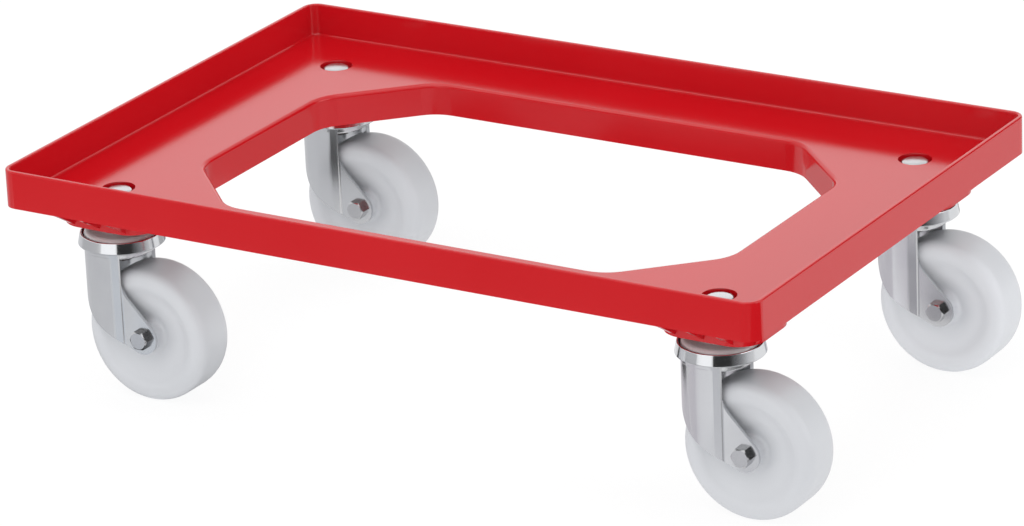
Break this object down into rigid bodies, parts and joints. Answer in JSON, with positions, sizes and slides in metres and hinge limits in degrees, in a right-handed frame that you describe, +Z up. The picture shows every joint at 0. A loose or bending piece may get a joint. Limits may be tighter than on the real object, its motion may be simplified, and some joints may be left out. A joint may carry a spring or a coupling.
{
  "type": "crate dolly",
  "caption": "Low open-deck dolly with an upstanding rim that locates a stacking crate, carried on swivel castors.",
  "frame": {"origin": "on the floor, under the middle of the deck", "axes": "+X along the deck's long side, towards which the castors trail, +Y along its short side, +Z up"},
  "size_m": [0.6275, 0.41, 0.1785],
  "materials": {
    "red_plastic": "smooth glossy moulding",
    "zinc_steel": "bright zinc plate",
    "bearing_steel": "greased bare steel",
    "white_polyamide": "satin moulding"
  },
  "bodies": {
    "deck": {"deck": "red_plastic", "fixing_bolts": "zinc_steel", "fixing_nuts": "zinc_steel", "front_left_head_plate": "zinc_steel", "front_left_king_sleeve": "zinc_steel", "front_right_head_plate": "zinc_steel", "front_right_king_sleeve": "zinc_steel", "rear_right_head_plate": "zinc_steel", "rear_right_king_sleeve": "zinc_steel", "rear_left_head_plate": "zinc_steel", "rear_left_king_sleeve": "zinc_steel"},
    "front_left_swivel": {"front_left_fork": "zinc_steel", "front_left_bearing_ring": "bearing_steel", "front_left_axle_bolt": "zinc_steel", "front_left_axle_nut": "zinc_steel", "front_left_axle_sleeve": "zinc_steel"},
    "front_left_rolling": {"front_left_wheel": "white_polyamide"},
    "front_right_swivel": {"front_right_fork": "zinc_steel", "front_right_bearing_ring": "bearing_steel", "front_right_axle_bolt": "zinc_steel", "front_right_axle_nut": "zinc_steel", "front_right_axle_sleeve": "zinc_steel"},
    "front_right_rolling": {"front_right_wheel": "white_polyamide"},
    "rear_right_swivel": {"rear_right_fork": "zinc_steel", "rear_right_bearing_ring": "bearing_steel", "rear_right_axle_bolt": "zinc_steel", "rear_right_axle_nut": "zinc_steel", "rear_right_axle_sleeve": "zinc_steel"},
    "rear_right_rolling": {"rear_right_wheel": "white_polyamide"},
    "rear_left_swivel": {"rear_left_fork": "zinc_steel", "rear_left_bearing_ring": "bearing_steel", "rear_left_axle_bolt": "zinc_steel", "rear_left_axle_nut": "zinc_steel", "rear_left_axle_sleeve": "zinc_steel"},
    "rear_left_rolling": {"rear_left_wheel": "white_polyamide"}
  },
  "joints": [
    {"name": "front_left_swivel_turn", "type": "hinge", "parent": "deck", "child": "front_left_swivel", "pos_m": [-0.245, -0.145, 0.115], "axis": [0, 0, 1], "continuous": true},
    {"name": "front_left_wheel_spin", "type": "hinge", "parent": "front_left_swivel", "child": "front_left_rolling", "pos_m": [-0.2175, -0.145, 0.05], "axis": [0, 1, 0], "continuous": true},
    {"name": "front_right_swivel_turn", "type": "hinge", "parent": "deck", "child": "front_right_swivel", "pos_m": [0.245, -0.145, 0.115], "axis": [0, 0, 1], "continuous": true},
    {"name": "front_right_wheel_spin", "type": "hinge", "parent": "front_right_swivel", "child": "front_right_rolling", "pos_m": [0.2725, -0.145, 0.05], "axis": [0, 1, 0], "continuous": true},
    {"name": "rear_right_swivel_turn", "type": "hinge", "parent": "deck", "child": "rear_right_swivel", "pos_m": [0.245, 0.145, 0.115], "axis": [0, 0, 1], "continuous": true},
    {"name": "rear_right_wheel_spin", "type": "hinge", "parent": "rear_right_swivel", "child": "rear_right_rolling", "pos_m": [0.2725, 0.145, 0.05], "axis": [0, 1, 0], "continuous": true},
    {"name": "rear_left_swivel_turn", "type": "hinge", "parent": "deck", "child": "rear_left_swivel", "pos_m": [-0.245, 0.145, 0.115], "axis": [0, 0, 1], "continuous": true},
    {"name": "rear_left_wheel_spin", "type": "hinge", "parent": "rear_left_swivel", "child": "rear_left_rolling", "pos_m": [-0.2175, 0.145, 0.05], "axis": [0, 1, 0], "continuous": true}
  ]
}
